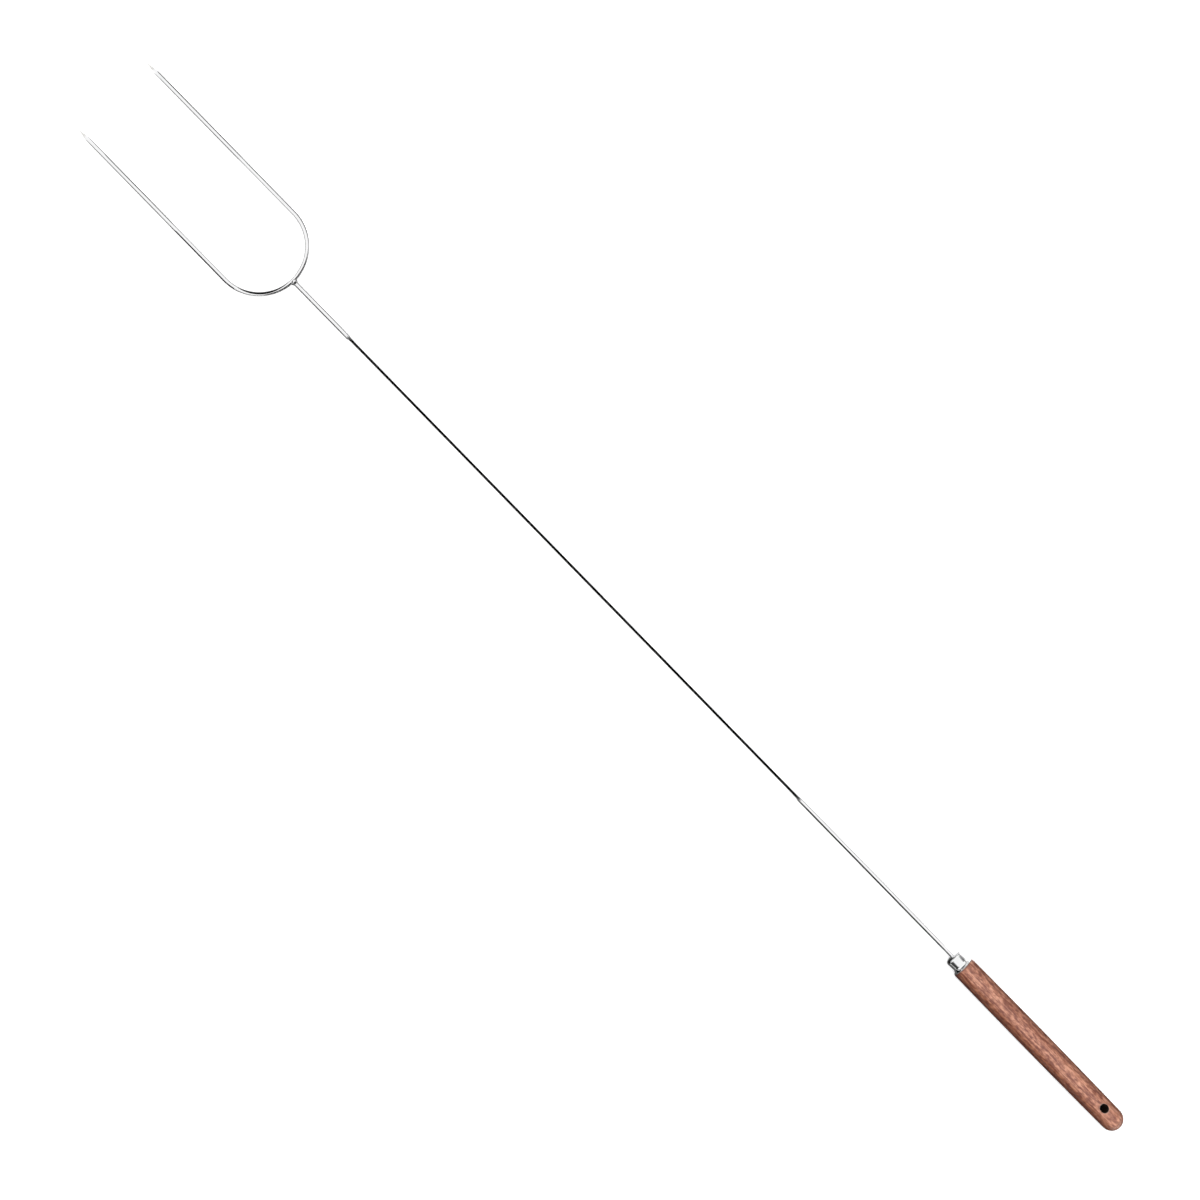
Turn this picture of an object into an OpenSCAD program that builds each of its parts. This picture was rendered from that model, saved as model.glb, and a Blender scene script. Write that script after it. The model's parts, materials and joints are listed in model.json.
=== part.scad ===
// Campfire roasting fork: two wire prongs on a long rod, with a ferrule and a turned wooden handle.
// The origin is the centre of the hanging hole. X runs along the rod to the prong tips, the prongs
// lie in the XY plane, and Z is square to them. All sizes are in millimetres.

/* [Prongs] */
// Diameter of the wire that the prongs are bent from
prong_wire_d = 3.175; // [2.5:0.005:4.2]
// Distance between the two prongs, centre to centre
prong_spacing = 67.5; // [50:0.5:90]
// Length of each prong beyond the bend, with its point
prong_len = 147.25; // [100:0.25:200]
// Length of the cone ground on each prong
point_len = 6.3; // [4:0.1:12]
// Diameter of the blunted end of each point
point_end_d = 0.6; // [0.3:0.1:1.2]

/* [Shaft] */
// Diameter of the shaft rod
rod_d = 3.175; // [2.6:0.005:4]
// Length of rod from the ferrule to the centre line of the bend
rod_show_len = 666; // [300:1:900]
// Length of rod hidden in the ferrule and the handle
tang_len = 75; // [50:1:110]
// How deep the rod's end is coped round the prong wire
cope_depth = 0.5; // [0.3:0.05:0.9]
// Number of barbs pressed out of the tang, each as a pair of wings
barb_count = 2; // [1:1:3]
// Length of each barb
barb_len = 6; // [4:0.5:9]
// Width of the tang across a barb's wings
barb_w = 4.8; // [4.4:0.1:6]
// Thickness of a barb's wings
barb_t = 1.5; // [1:0.1:2]

/* [Weld] */
// How far the weld bead stands out from the rod
weld_h = 1.1; // [0.6:0.1:1.8]
// Length of the weld bead along the rod
weld_len = 2.2; // [1.2:0.1:3.5]

/* [Ferrule] */
// Length of the ferrule in front of the wood
ferrule_len = 11; // [10:0.5:18]
// Thickness of the ferrule's wall
ferrule_wall = 0.6; // [0.4:0.05:0.9]
// Outer diameter of the round nose
nose_d = 13.1; // [12.2:0.1:15]
// Radius of the nose's rounded edge
nose_edge_r = 2.6; // [1.6:0.1:3.2]
// Outer diameter of the neck behind the nose
neck_d = 12.5; // [11.5:0.1:14]
// Radius of the hollow curve that flares the skirt
flare_r = 3.2; // [2.6:0.1:3.6]
// Width of the flat ring on the wood's shoulder, outside the skirt's rim
rim_seat = 0.1; // [0.05:0.05:0.4]

/* [Handle] */
// Length of the wood from its front shoulder to its tail
handle_len = 158; // [130:1:200]
// Diameter of the wood at its front shoulder
handle_front_d = 17; // [16:0.1:20]
// Largest diameter of the wood
handle_belly_d = 17.65; // [16:0.05:24]
// Diameter of the wood's half-round tail
handle_tail_d = 16.65; // [14:0.05:22]
// Distance of the largest diameter from the front shoulder
belly_from_front = 68; // [50:1:80]
// Radius of the rounded edge round the front shoulder
shoulder_edge_r = 0.5; // [0.2:0.1:0.8]

/* [Hanging hole] */
// Diameter of the hanging hole
hole_d = 6.35; // [4:0.05:8]
// Distance of the hanging hole from the end of the tail
hole_from_tail = 19; // [14:0.5:30]
// Depth of the bevel round each mouth of the hole
hole_bevel = 0.8; // [0.4:0.1:1.2]
// Degrees that the handle is turned on its tang, which tips the hole towards -Y
handle_turn = 11; // [-20:1:20]

/* [Clearances] */
// Gap between the rod's end and the prong wire, which the weld bridges
weld_gap = 0.03; // [0.02:0.01:0.08]
// Gap all round the rod in the ferrule's hole
rod_hole_clear = 0.1; // [0.05:0.01:0.2]
// Gap between the tang and the wood all round it
tang_clear = 0.03; // [0.02:0.01:0.1]
// Gap between the ferrule and the wood inside it
ferrule_clear = 0.05; // [0.03:0.01:0.1]
// How much deeper the bore in the wood is than the tang
bore_extra = 3; // [1:0.5:8]

/* [Hidden] */
$fn = 96;
curve_steps = 12;
barrel_steps = 16;

wire_r = prong_wire_d / 2;
rod_r = rod_d / 2;
bend_r = prong_spacing / 2;

// Stations along the long axis, from the hanging hole
tail_x = -hole_from_tail;
shoulder_x = tail_x + handle_len;
nose_x = shoulder_x + ferrule_len;
bend_bottom_x = nose_x + rod_show_len;
bend_centre_x = bend_bottom_x + bend_r;
tang_end_x = nose_x - tang_len;
rod_end_x = bend_bottom_x - wire_r + cope_depth;

// The wood: a barrel of two half parabolas that meet at the belly, and a round tail
front_r = handle_front_d / 2;
belly_r = handle_belly_d / 2;
tail_r = handle_tail_d / 2;
hole_r = hole_d / 2;
barrel_len = handle_len - tail_r;
belly_to_tail = barrel_len - belly_from_front;

// The ferrule and the wood inside it, as distances from the axis and ahead of the shoulder.
// The skirt flares round a centre outside the neck until it meets its seat on the shoulder.
fit_wall = ferrule_wall + ferrule_clear;
flare_centre_r = neck_d / 2 + flare_r;
flare_angle = acos((flare_centre_r - front_r + shoulder_edge_r + rim_seat) / (flare_r + fit_wall));
flare_centre = [flare_centre_r, (flare_r + fit_wall) * sin(flare_angle)];
nose_centre = [nose_d / 2 - nose_edge_r, ferrule_len - nose_edge_r];
spigot_r = neck_d / 2 - fit_wall;
spigot_edge_r = nose_edge_r - fit_wall;
spigot_edge_angle = acos(min(1, (spigot_r - nose_centre[0]) / spigot_edge_r));

// Points along an arc, from one angle to another
function arc(centre, r, from, to) =
    [for (i = [0:curve_steps])
        let (a = from + (to - from) * i / curve_steps)
        centre + r * [cos(a), sin(a)]];

// Radius of the wood at a distance behind its front shoulder
function barrel_radius(s) =
    s < belly_from_front
        ? belly_r - (belly_r - front_r) * pow(1 - s / belly_from_front, 2)
        : belly_r - (belly_r - tail_r) * pow((s - belly_from_front) / belly_to_tail, 2);

// Puts a turned shape, drawn along Z, on the long axis at a station
module on_axis(x) {
    translate([x, 0, 0])
        rotate([0, 90, 0])
            children();
}

// One prong with its ground point, from the end of the bend
module prong(side) {
    translate([0, side * bend_r, 0])
        on_axis(bend_centre_x)
            rotate_extrude()
                polygon([
                    [0, 0],
                    [wire_r, 0],
                    [wire_r, prong_len - point_len],
                    [point_end_d / 2, prong_len],
                    [0, prong_len]
                ]);
}

// The half-round bend, at the wire's own radius or a little more
module bend(r) {
    translate([bend_centre_x, 0, 0])
        rotate([0, 0, 90])
            rotate_extrude(angle = 180)
                translate([bend_r, 0])
                    circle(r = r);
}

module prong_wire() {
    color("silver") {
        bend(wire_r);
        prong(1);
        prong(-1);
    }
}

// Barbs on the tang: kites whose wings slope out towards the prongs, and so hold in the wood
module barbs() {
    back = rod_r / 2;
    for (i = [0:barb_count - 1])
        translate([tang_end_x + rod_r + i * barb_len, 0, -barb_t / 2])
            linear_extrude(height = barb_t)
                polygon([[0, 0], [barb_len - back, -barb_w / 2], [barb_len, 0], [barb_len - back, barb_w / 2]]);
}

// The rod, bevelled at the end of its tang and coped to the bend at the other end
module shaft_rod() {
    rod_len = rod_end_x - tang_end_x;
    bevel = rod_r / 3;
    color("silver")
        difference() {
            union() {
                on_axis(tang_end_x)
                    rotate_extrude()
                        polygon([[0, 0], [rod_r - bevel, 0], [rod_r, bevel], [rod_r, rod_len], [0, rod_len]]);
                barbs();
            }
            bend(wire_r + weld_gap);
        }
}

// The bead, a ring round the rod that swells smoothly out of it and rounds off on to the bend
module weld_bead() {
    crest_x = bend_bottom_x - wire_r;
    inner_r = rod_r + weld_gap;
    color("gainsboro")
        difference() {
            on_axis(crest_x)
                rotate_extrude()
                    polygon(concat(
                        [for (i = [0:curve_steps])
                            let (u = i / curve_steps)
                            [inner_r + weld_h * (1 - cos(180 * u)) / 2, -weld_len * (1 - u)]],
                        [for (i = [1:curve_steps])
                            let (a = 90 * i / curve_steps)
                            [inner_r + weld_h * cos(a), wire_r * sin(a)]]
                    ));
            bend(wire_r + weld_gap);
        }
}

module ferrule() {
    rod_hole_r = rod_r + rod_hole_clear;
    color("lightgray")
        on_axis(shoulder_x)
            rotate_extrude()
                polygon(concat(
                    arc(flare_centre, flare_r, 180 + flare_angle, 180),
                    arc(nose_centre, nose_edge_r, 0, 90),
                    [[rod_hole_r, ferrule_len], [rod_hole_r, ferrule_len - ferrule_wall]],
                    arc(nose_centre, nose_edge_r - ferrule_wall, 90, 0),
                    arc(flare_centre, flare_r + ferrule_wall, 180, 180 + flare_angle)
                ));
}

// The turned wood before drilling, from the spigot's end back to the tail
module turned_wood() {
    on_axis(shoulder_x)
        rotate_extrude()
            polygon(concat(
                [[0, ferrule_len - fit_wall]],
                arc(nose_centre, spigot_edge_r, 90, spigot_edge_angle),
                arc(flare_centre, flare_r + fit_wall, 180, 180 + flare_angle),
                arc([front_r - shoulder_edge_r, -shoulder_edge_r], shoulder_edge_r, 90, 0),
                [for (i = [1:barrel_steps - 1])
                    let (s = shoulder_edge_r + (barrel_len - shoulder_edge_r) * i / barrel_steps)
                    [barrel_radius(s), -s]],
                arc([0, -barrel_len], tail_r, 0, -90)
            ));
}

// The bore for the tang, with the groove that the barbs cut on their way in
module tang_bore() {
    slot_w = barb_w + 2 * tang_clear;
    slot_t = barb_t + 2 * tang_clear;
    slot_x = tang_end_x + rod_r - tang_clear;
    on_axis(tang_end_x - bore_extra)
        cylinder(r = rod_r + tang_clear, h = nose_x - tang_end_x + bore_extra);
    translate([slot_x, -slot_w / 2, -slot_t / 2])
        cube([nose_x - slot_x, slot_w, slot_t]);
}

// The hanging hole, with a bevel at each mouth that starts from the wood's own surface
module hanging_hole() {
    mouth_r = barrel_radius(shoulder_x);
    cylinder(r = hole_r, h = 2 * handle_belly_d, center = true);
    for (side = [0, 180])
        rotate([side, 0, 0])
            translate([0, 0, mouth_r - hole_bevel])
                cylinder(r1 = hole_r, r2 = hole_r + 2 * hole_bevel, h = 2 * hole_bevel);
}

module handle() {
    color("sienna")
        difference() {
            turned_wood();
            tang_bore();
            rotate([handle_turn, 0, 0])
                hanging_hole();
        }
}

prong_wire();
shaft_rod();
weld_bead();
ferrule();
handle();
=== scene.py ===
import json
import math

import bmesh
import bpy
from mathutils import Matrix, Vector

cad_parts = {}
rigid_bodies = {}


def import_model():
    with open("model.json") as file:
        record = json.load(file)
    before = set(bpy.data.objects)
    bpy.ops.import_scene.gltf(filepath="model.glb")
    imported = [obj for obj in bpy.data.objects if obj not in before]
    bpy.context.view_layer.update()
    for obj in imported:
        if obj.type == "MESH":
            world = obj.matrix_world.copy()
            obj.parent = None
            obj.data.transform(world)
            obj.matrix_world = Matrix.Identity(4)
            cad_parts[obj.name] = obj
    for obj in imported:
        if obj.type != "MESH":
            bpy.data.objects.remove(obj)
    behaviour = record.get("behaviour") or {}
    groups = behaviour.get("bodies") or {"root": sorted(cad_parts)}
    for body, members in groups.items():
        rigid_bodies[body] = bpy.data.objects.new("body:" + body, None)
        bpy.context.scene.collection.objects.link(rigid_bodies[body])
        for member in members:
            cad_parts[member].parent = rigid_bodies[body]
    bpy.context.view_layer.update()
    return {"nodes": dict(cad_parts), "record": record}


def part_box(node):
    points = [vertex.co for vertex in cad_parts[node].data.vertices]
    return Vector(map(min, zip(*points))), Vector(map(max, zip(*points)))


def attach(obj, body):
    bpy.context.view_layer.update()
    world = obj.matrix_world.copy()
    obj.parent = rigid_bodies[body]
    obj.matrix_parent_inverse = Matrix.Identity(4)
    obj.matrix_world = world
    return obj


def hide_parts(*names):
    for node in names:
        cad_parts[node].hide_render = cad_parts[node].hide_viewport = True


for leftover in list(bpy.data.objects):  # what Blender starts with
    bpy.data.objects.remove(leftover)
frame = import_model()
print("frame loaded:", ", ".join(sorted(frame["nodes"])))

mm = 0.001
mergeGap = 0.0005 * mm  # points closer than this become one
wireLow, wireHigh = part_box("prong_wire")
rodLow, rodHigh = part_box("shaft_rod")
weldLow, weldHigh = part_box("weld_bead")
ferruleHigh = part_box("ferrule")[1]
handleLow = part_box("handle")[0]
mounts = {mount["name"]: mount for mount in frame["record"]["mounts"]}

wireRadius = wireHigh.z
rodRadius = rodHigh.z
bendRadius = wireHigh.y - wireRadius
bendBottomX = wireLow.x + wireRadius
bendCentreX = bendBottomX + bendRadius
tipX = wireHigh.x
noseX = ferruleHigh.x


class Wire:  # a socket that can stand in Python sums
    def __init__(self, graph, socket):
        self.graph = graph
        self.socket = socket

    def __add__(self, other):
        return self.graph.calc("ADD", self, other)

    def __sub__(self, other):
        return self.graph.calc("SUBTRACT", self, other)

    def __mul__(self, other):
        return self.graph.calc("MULTIPLY", self, other)

    def __truediv__(self, other):
        return self.graph.calc("DIVIDE", self, other)

    def __pow__(self, other):
        return self.graph.calc("POWER", self, other)

    def __rsub__(self, other):
        return self.graph.calc("SUBTRACT", other, self)

    def __rtruediv__(self, other):
        return self.graph.calc("DIVIDE", other, self)

    __radd__ = __add__
    __rmul__ = __mul__

    def atMost(self, other):
        return self.graph.calc("MINIMUM", self, other)

    def atLeast(self, other):
        return self.graph.calc("MAXIMUM", self, other)

    def root(self):
        return self.graph.calc("SQRT", self)

    def step(self, low, high):  # a soft step from 0 at low to 1 at high
        settings = {"interpolation_type": "SMOOTHSTEP"}
        sockets = {"Value": self, "From Min": min(low, high), "From Max": max(low, high)}
        rise = self.graph.add("ShaderNodeMapRange", settings, sockets)
        return rise if high > low else 1 - rise


class Graph:  # one node tree, built with sums on wires and with add()
    def __init__(self, tree):
        self.tree = tree

    def add(self, kind, settings=None, sockets=None, take=0):
        made = self.tree.nodes.new(kind)
        for key, value in (settings or {}).items():
            if key == "stops":
                setStops(made.color_ramp, value)
            else:
                setattr(made, key, value)
        for key, value in (sockets or {}).items():
            if isinstance(value, Wire):
                self.tree.links.new(value.socket, made.inputs[key])
            else:
                made.inputs[key].default_value = value
        if take is None:
            return None
        if isinstance(take, tuple):
            return [Wire(self, made.outputs[name]) for name in take]
        return Wire(self, made.outputs[take])

    def calc(self, operation, *values):
        return self.add("ShaderNodeMath", {"operation": operation}, dict(enumerate(values)))

    def vector(self, operation, *values, take=0):
        return self.add("ShaderNodeVectorMath", {"operation": operation}, dict(enumerate(values)), take)

    def split(self, vector):
        return self.add("ShaderNodeSeparateXYZ", {}, {0: vector}, ("X", "Y", "Z"))

    def join(self, x, y, z):
        return self.add("ShaderNodeCombineXYZ", {}, {0: x, 1: y, 2: z})

    def stretched(self, vector, factors):  # each axis of a pattern by its own factor
        return self.vector("MULTIPLY", vector, factors)

    def blend(self, factor, a, b, mode="MIX"):  # colours, never through Math
        settings = {"data_type": "RGBA", "blend_type": mode}
        return self.add("ShaderNodeMix", settings, {0: factor, 6: a, 7: b}, take=2)

    def noise(self, vector, scale, detail=2.0, roughness=0.5):
        sockets = {"Vector": vector, "Scale": scale, "Detail": detail, "Roughness": roughness}
        return self.add("ShaderNodeTexNoise", {}, sockets)

    def cells(self, vector, scale):
        sockets = {"Vector": vector, "Scale": scale}
        return self.add("ShaderNodeTexVoronoi", {}, sockets, ("Distance", "Color"))


def setStops(ramp, stops):
    while len(ramp.elements) < len(stops):
        ramp.elements.new(1.0)
    for element, (place, colour) in zip(ramp.elements, stops):
        element.position = place
        element.color = (*colour, 1)


def newFinish(name):
    finish = bpy.data.materials.new(name)
    finish.use_nodes = True
    finish.node_tree.nodes.clear()
    return finish, Graph(finish.node_tree)


def closeFinish(graph, sockets):  # the shader at the end of a finish
    shader = graph.add("ShaderNodeBsdfPrincipled", {}, sockets)
    graph.add("ShaderNodeOutputMaterial", {}, {"Surface": shader}, take=None)


def newTree(name, sizes):  # a Geometry Nodes tree and its named inputs
    tree = bpy.data.node_groups.new(name, "GeometryNodeTree")
    face = tree.interface
    face.new_socket(name="Geometry", in_out="INPUT", socket_type="NodeSocketGeometry")
    for label, kind in sizes.items():
        face.new_socket(name=label, in_out="INPUT", socket_type="NodeSocket" + kind)
    face.new_socket(name="Geometry", in_out="OUTPUT", socket_type="NodeSocketGeometry")
    graph = Graph(tree)
    return graph, graph.add("NodeGroupInput", {}, {}, ("Geometry", *sizes))


def closeTree(graph, geometry, material):  # what every tree ends in
    smooth = graph.add("GeometryNodeSetShadeSmooth", {}, {"Geometry": geometry})
    real = graph.add("GeometryNodeRealizeInstances", {}, {"Geometry": smooth})
    dressed = graph.add("GeometryNodeSetMaterial", {}, {"Geometry": real, "Material": material})
    graph.add("NodeGroupOutput", {}, {"Geometry": dressed}, take=None)


def tidyMesh(mesh, sharpAngle):  # closes poles and seams and turns the faces outwards
    work = bmesh.new()
    work.from_mesh(mesh)
    bmesh.ops.remove_doubles(work, verts=work.verts, dist=mergeGap * 0.4)
    bmesh.ops.dissolve_degenerate(work, edges=work.edges, dist=mergeGap * 0.2)
    bmesh.ops.recalc_face_normals(work, faces=work.faces)
    for face in work.faces:
        face.smooth = True
    work.to_mesh(mesh)
    work.free()
    mesh.set_sharp_from_angle(angle=math.radians(sharpAngle))


def pieceFromMesh(name, mesh, node):
    mesh.name = name
    piece = bpy.data.objects.new(name, mesh)
    bpy.context.scene.collection.objects.link(piece)
    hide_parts(node)
    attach(piece, "root")
    print("made", name, "with", len(mesh.polygons), "faces")
    return piece


def grown(graph, name, points, edges, values, sharpAngle):  # runs a tree on a bare line of points
    line = bpy.data.meshes.new(name + "Line")
    line.from_pydata(points, edges, [])
    host = bpy.data.objects.new(name + "Host", line)
    bpy.context.scene.collection.objects.link(host)
    modifier = host.modifiers.new(name, "NODES")
    modifier.node_group = graph.tree
    for item in graph.tree.interface.items_tree:
        if item.in_out == "INPUT" and item.name in values:
            modifier[item.identifier] = values[item.name]
    evaluated = host.evaluated_get(bpy.context.evaluated_depsgraph_get())
    mesh = bpy.data.meshes.new_from_object(evaluated)
    host.modifiers.remove(modifier)
    bpy.data.objects.remove(host)
    bpy.data.meshes.remove(line)
    tidyMesh(mesh, sharpAngle)
    return mesh


def steps(low, high, count):  # count equal steps from low to high, both ends included
    return [low + (high - low) * i / count for i in range(count + 1)]


def arc(centre, radius, start, end, count=12):  # points along an arc, angles in degrees
    turns = [math.radians(angle) for angle in steps(start, end, count)]
    return [(centre[0] + radius * math.cos(turn), centre[1] + radius * math.sin(turn)) for turn in turns]


def bow(a, corner, b, share):  # a point on the curve from a to b that rounds off their corner
    return a * (1 - share) ** 2 + corner * 2 * share * (1 - share) + b * share * share


def saddleX(y, z, gap):  # how far along X something may reach before it meets the bend's wire
    thick = math.sqrt(max(0, (wireRadius + gap) ** 2 - z * z))
    return bendCentreX - math.sqrt((bendRadius + thick) ** 2 - y * y)


# Chrome plate, with drawing lines along the wire, hazy patches and dull specks. Each count is how often
# a pattern repeats in a metre.

plateLook = {
    "colour": (0.93, 0.93, 0.935, 1),
    "dullColour": (0.70, 0.69, 0.68, 1),
    "roughness": 0.055,
    "hazeCount": 90,
    "hazeRoughness": 0.05,  # how much rougher the hazy patches are
    "wornCount": 140,  # patches that hold specks
    "speckCount": 900,
    "speckRoughness": 0.25,
    "bumpDepth": 0.003 * mm,
}
pointLook = {
    "colour": (0.92, 0.915, 0.90, 1),
    "grooveColour": (0.66, 0.65, 0.63, 1),
    "roughness": 0.26,
    "grooveCount": (9000, 350, 350),
    "blur": 0.2 * mm,  # how softly the ground part starts
}
weldLook = {
    "pitCount": 1500,
    "pitDepth": 0.02 * mm,
}
ferruleLook = {
    "lineCount": (9000, 260),
    "scuffCount": (500, 2600, 900),
    "bumpDepth": 0.006 * mm,
}


def plated(graph, place, along, across):  # colour, roughness and height of chrome plate
    look = plateLook
    lines = graph.noise(graph.stretched(place, (along, across, across)), 1, 3, 0.6)
    haze = graph.noise(place, look["hazeCount"], 3, 0.6).step(0.48, 0.75)
    worn = graph.noise(place, look["wornCount"]).step(0.52, 0.66)
    specks = graph.cells(place, look["speckCount"])[0].step(0.16, 0.06) * worn
    colour = graph.blend(specks * 0.7 + haze * 0.12, look["colour"], look["dullColour"])
    roughness = look["roughness"] + haze * look["hazeRoughness"] + specks * look["speckRoughness"]
    return colour, roughness + lines * 0.03, lines - specks * 0.6


def makeWireFinish():
    finish, graph = newFinish("chromedWire")
    place = graph.add("ShaderNodeAttribute", {"attribute_name": "straight"}, {}, "Vector")
    ground = graph.add("ShaderNodeAttribute", {"attribute_name": "ground"}, {}, "Fac")
    colour, roughness, height = plated(graph, place, 60, 5200)
    grooves = graph.noise(graph.stretched(place, pointLook["grooveCount"]), 1, 2, 0.6)
    steel = graph.blend(grooves.step(0.35, 0.65), pointLook["grooveColour"], pointLook["colour"])
    bare = ground.step(0.35, 0.65)
    bump = {
        "Strength": 0.6,
        "Distance": plateLook["bumpDepth"],
        "Height": height + bare * grooves * 4,
    }
    closeFinish(graph, {
        "Base Color": graph.blend(bare, colour, steel),
        "Metallic": 1.0,
        "Roughness": roughness + bare * (pointLook["roughness"] - plateLook["roughness"]),
        "Normal": graph.add("ShaderNodeBump", {}, bump),
    })
    return finish


def makeWeldFinish():
    finish, graph = newFinish("chromedWeld")
    place = graph.add("ShaderNodeTexCoord", {}, {}, "Object")
    colour, roughness, height = plated(graph, place, 2000, 2000)
    pits = graph.noise(place, weldLook["pitCount"], 3, 0.7)
    bump = {"Strength": 0.7, "Distance": weldLook["pitDepth"], "Height": height * 0.1 + pits}
    closeFinish(graph, {
        "Base Color": graph.blend(pits.step(0.5, 0.3), colour, plateLook["dullColour"]),
        "Metallic": 1.0,
        "Roughness": roughness + 0.1,
        "Normal": graph.add("ShaderNodeBump", {}, bump),
    })
    return finish


def makeFerruleFinish():
    finish, graph = newFinish("chromedFerrule")
    place = graph.add("ShaderNodeTexCoord", {}, {}, "Object")
    colour, roughness, height = plated(graph, place, *ferruleLook["lineCount"])
    scuffs = graph.noise(graph.stretched(place, ferruleLook["scuffCount"]), 1).step(0.68, 0.74)
    bump = {"Strength": 0.5, "Distance": ferruleLook["bumpDepth"], "Height": height - scuffs}
    closeFinish(graph, {
        "Base Color": graph.blend(scuffs * 0.3, colour, plateLook["dullColour"]),
        "Metallic": 1.0,
        "Roughness": roughness + scuffs * 0.15,
        "Normal": graph.add("ShaderNodeBump", {}, bump),
    })
    return finish


# Straight-grained hardwood under a clear varnish: growth rings round a far pith, fibre, and the short
# dark flecks that run lengthwise, with painted shade along both sides, on the +Y side and in the bores,
# and a painted highlight on the tail. Each count is how often a pattern repeats in a millimetre.

woodLook = {
    "light": (0.74, 0.370, 0.245),
    "middle": (0.49, 0.205, 0.130),
    "dark": (0.21, 0.066, 0.040),
    "fleck": (0.14, 0.040, 0.027, 1),
    "pore": (0.085, 0.028, 0.020, 1),
    "heartAndShade": (0.62, 0.44, 0.30, 1),  # what the +Y side is multiplied by: a more orange heartwood tone and painted shade
    "rim": (0.66, 0.45, 0.37, 1),  # paler, at the hole's bevels
    "raw": (0.035, 0.018, 0.012, 1),  # in the bores, near black: raw wood with painted shade in the recess
    "sides": (0.76, 0.71, 0.68, 1),  # and both sides, painted shade that darkens the handle towards its edges
    "sideShadeFrom": (3.0, 8.5),  # mm from the middle
    "heartShadeSide": (1.0, 8.0),  # mm along Y, where the heartwood tone and its painted shade start and are full
    "tailHighlight": (25.0, -15.0),  # mm along X, where the painted highlight on the tail starts and is full
    "pith": (0, -42.0, 78.0),  # mm from the long axis
    "ringWidth": 2.3,  # mm
    "wander": (0, 9, 9),  # mm that the rings stray
    "wanderCount": (0.018, 0.05, 0.05),
    "fibreCount": (0.05, 2.4, 2.4),
    "broadCount": (0.22, 0.55, 0.55),
    "fleckCount": (0.26, 1.15, 1.15),
    "poreCount": (0.55, 3.2, 3.2),
    "roughness": 0.46,
    "coatRoughness": 0.3,
    "bumpDepth": 0.03 * mm,
}


def makeWoodFinish():
    finish, graph = newFinish("varnishedWood")
    look = woodLook
    raw = graph.add("ShaderNodeAttribute", {"attribute_name": "rawWood"}, {}, "Fac")
    place = graph.vector("SCALE", graph.add("ShaderNodeTexCoord", {}, {}, "Object"))
    place.socket.node.inputs["Scale"].default_value = 1 / mm
    x, y, z = graph.split(place)

    stray = graph.add("ShaderNodeTexNoise", {}, {
        "Vector": graph.stretched(place, look["wanderCount"]), "Scale": 1, "Detail": 2}, "Color")
    wander = graph.vector("MULTIPLY", graph.vector("SUBTRACT", stray, (0.5, 0.5, 0.5)), look["wander"])
    fromPith = graph.vector("SUBTRACT", graph.vector("ADD", place, wander), look["pith"])
    distance = graph.vector("LENGTH", graph.stretched(fromPith, (0, 1, 1)), take="Value")
    ring = graph.calc("FRACT", distance / look["ringWidth"])
    late = ring.step(0.35, 0.95) * ring.step(1.0, 0.93)

    fibre = graph.noise(graph.stretched(place, look["fibreCount"]), 1, 4, 0.62)
    broad = graph.noise(graph.stretched(place, look["broadCount"]), 1, 3, 0.6)
    # the tail end is lightened, a painted highlight
    tone = 0.48 + (fibre - 0.5) * 1.9 + (broad - 0.5) * 2.3 - late * 0.26 + x.step(*look["tailHighlight"]) * 0.1
    stops = [(0.12, look["dark"]), (0.5, look["middle"]), (0.88, look["light"])]
    plain = graph.add("ShaderNodeValToRGB", {"stops": stops}, {"Fac": tone}, "Color")
    # painted shade: the +Y side darker, with a more orange heartwood tone
    heartAndShade = graph.blend(y.step(*look["heartShadeSide"]), plain, look["heartAndShade"], "MULTIPLY")
    # painted shade: both sides darker towards the handle's edges
    wood = graph.blend((y * y).root().step(*look["sideShadeFrom"]), heartAndShade, look["sides"], "MULTIPLY")

    flecks, fleckPick = graph.cells(graph.stretched(place, look["fleckCount"]), 1)
    fleck = flecks.step(0.42, 0.2) * graph.split(fleckPick)[0].step(0.42, 0.5)
    pores, porePick = graph.cells(graph.stretched(place, look["poreCount"]), 1)
    pore = pores.step(0.34, 0.16) * graph.split(porePick)[1].step(0.35, 0.6)

    withFlecks = graph.blend(fleck * 0.62, wood, look["fleck"])
    withPores = graph.blend(pore * 0.55, withFlecks, look["pore"])
    withRim = graph.blend(raw.step(0.15, 0.5) * 0.8, withPores, look["rim"])
    bump = {"Strength": 0.5, "Distance": look["bumpDepth"], "Height": fibre * 0.35 - pore - fleck * 0.3}
    closeFinish(graph, {
        # the bores' near-black colour is painted shade on the raw wood
        "Base Color": graph.blend(raw.step(0.55, 0.95), withRim, look["raw"]),
        "Roughness": look["roughness"] + raw * 0.4 + fibre * 0.08,
        "Coat Weight": 1 - raw,
        "Coat Roughness": look["coatRoughness"],
        "Normal": graph.add("ShaderNodeBump", {}, bump),
    })
    return finish


chromedWire = makeWireFinish()
chromedWeld = makeWeldFinish()
chromedFerrule = makeFerruleFinish()
varnishedWood = makeWoodFinish()
print("finishes ready")


# The prongs: one wire, swept along its centre line, with a cone ground on each end

prongShape = {
    "pointLength": 6.3 * mm,
    "pointEnd": 0.3 * mm,
    "pointRings": 22,
    "edgeRings": (0.08 * mm, 0.3 * mm),  # close behind the cone, to keep its edge crisp
    "legRing": 4 * mm,
    "bendSteps": 96,
    "sides": 56,
}


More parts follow.
